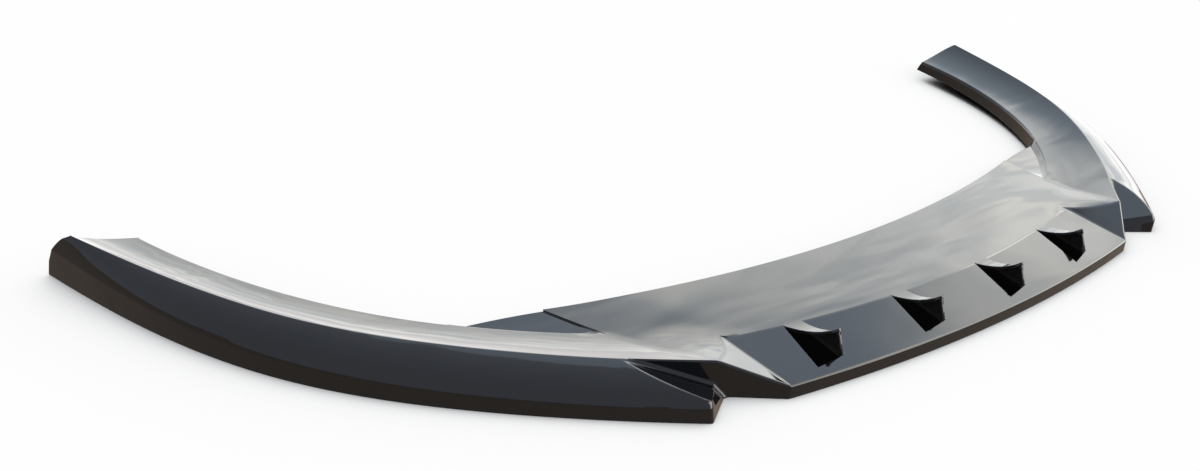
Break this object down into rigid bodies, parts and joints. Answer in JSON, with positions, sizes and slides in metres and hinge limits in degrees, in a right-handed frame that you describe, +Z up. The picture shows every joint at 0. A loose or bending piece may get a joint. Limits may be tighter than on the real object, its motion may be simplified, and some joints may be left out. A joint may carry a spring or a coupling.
{
  "type": "front splitter lip",
  "caption": "Gloss black front splitter lip for a car bumper: a U-shaped open-bottomed shell with a flat shelf, a front blade with raised air scoops, upswept ends and curved side wings.",
  "frame": {"origin": "centre of the bounding box in plan, on the plane of the lower edges", "axes": "+X across the car, -Y towards the front of the car, +Z up"},
  "size_m": [1.7224, 0.67, 0.0591],
  "materials": {
    "gloss_black": "high gloss, near black"
  },
  "bodies": {
    "root": {"splitter_lip": "gloss_black"}
  },
  "joints": []
}
